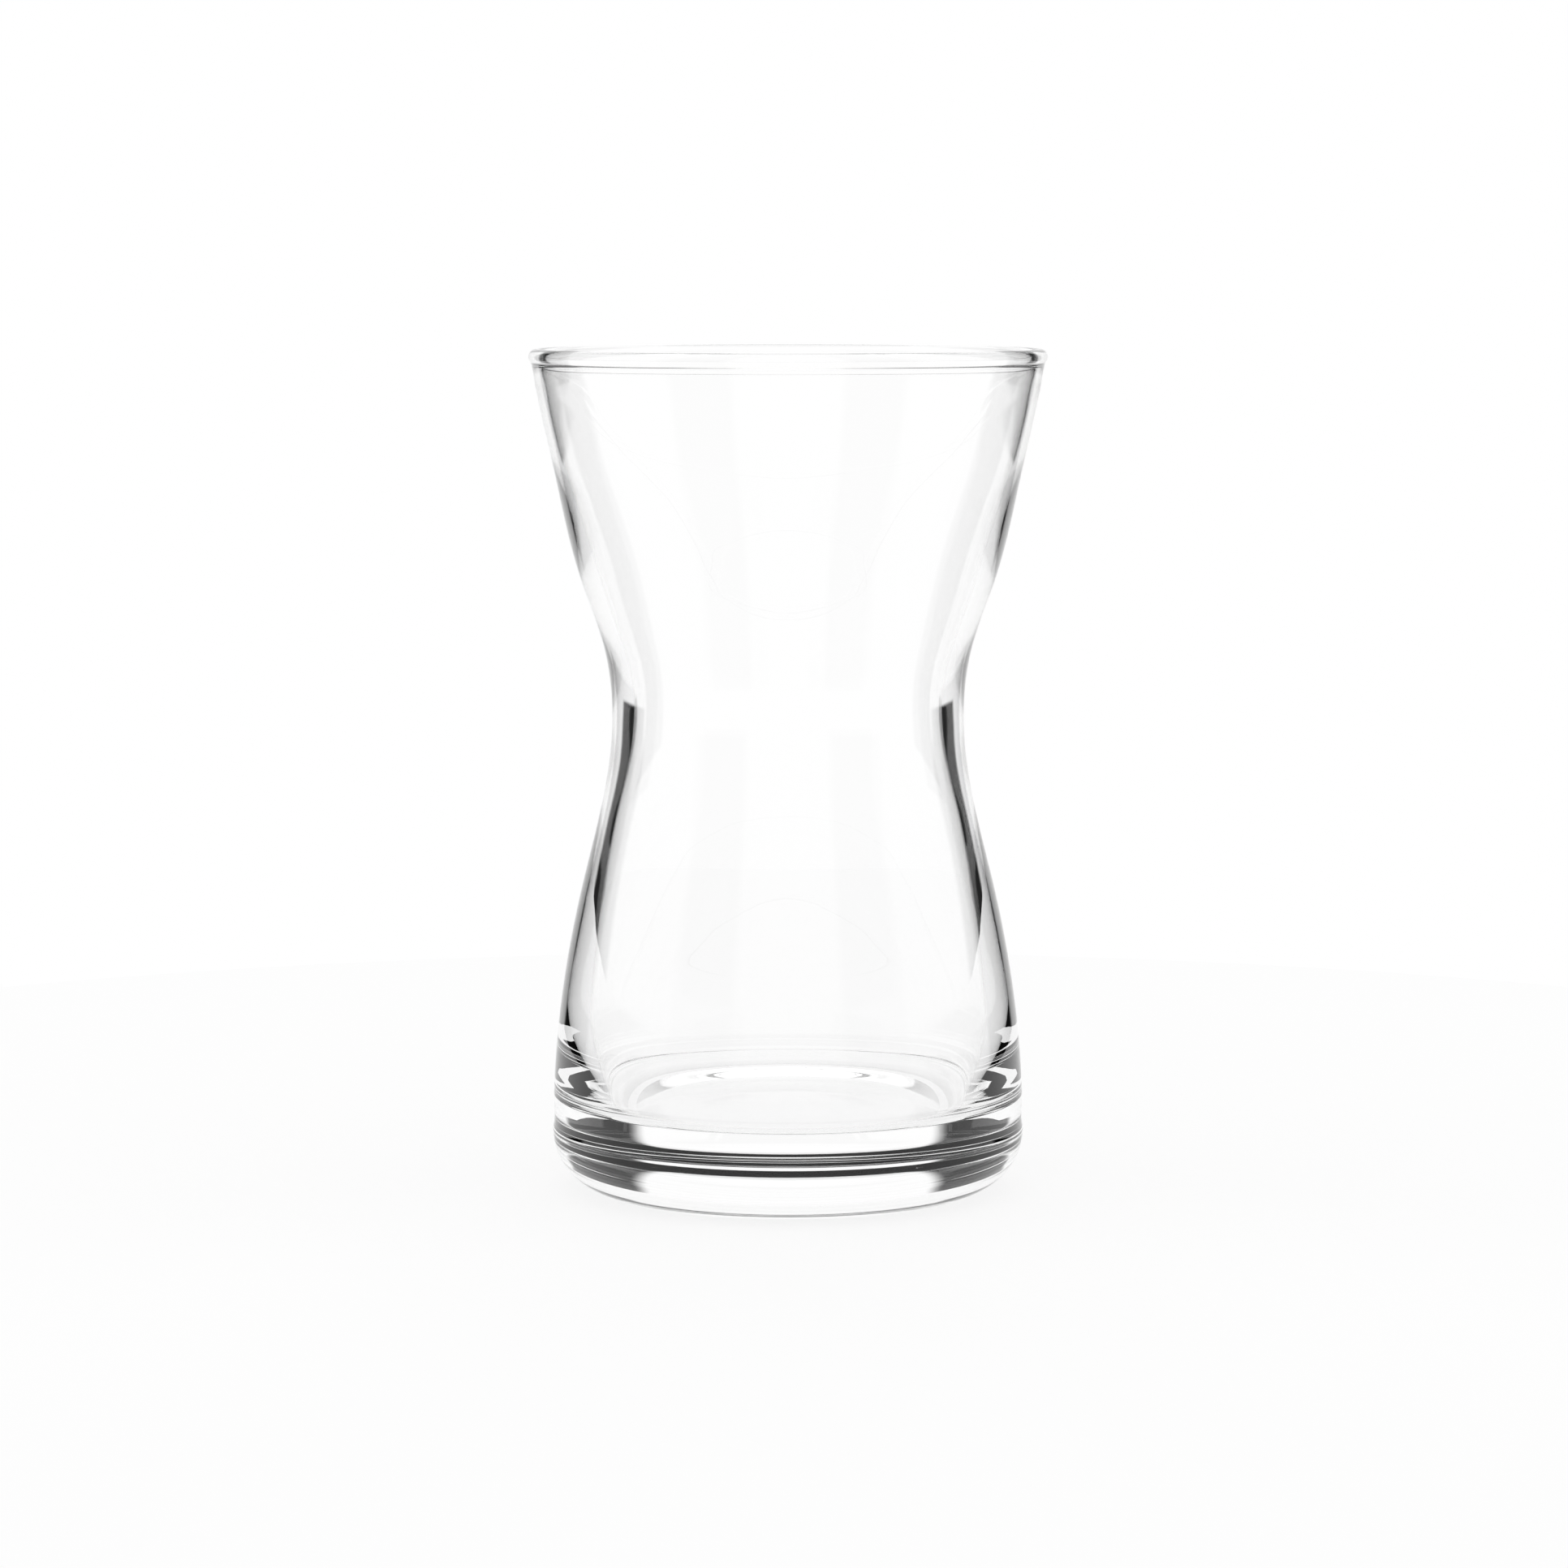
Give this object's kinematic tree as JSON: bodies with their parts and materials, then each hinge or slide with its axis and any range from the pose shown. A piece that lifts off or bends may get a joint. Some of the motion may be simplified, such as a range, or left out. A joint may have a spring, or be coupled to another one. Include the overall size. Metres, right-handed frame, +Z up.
{
  "type": "tea glass",
  "caption": "Empty clear glass tumbler with a narrow waist, flared beaded mouth and thick heavy base, for serving hot tea.",
  "frame": {"origin": "centre of the foot ring, on the plane the glass stands on", "axes": "+Z up along the glass's axis of revolution, towards the mouth; +X and +Y are free, as the glass is round"},
  "size_m": [0.06, 0.06, 0.098],
  "materials": {
    "clear_glass": "clear, smooth and fire-polished"
  },
  "bodies": {
    "root": {"tea_glass": "clear_glass"}
  },
  "joints": []
}
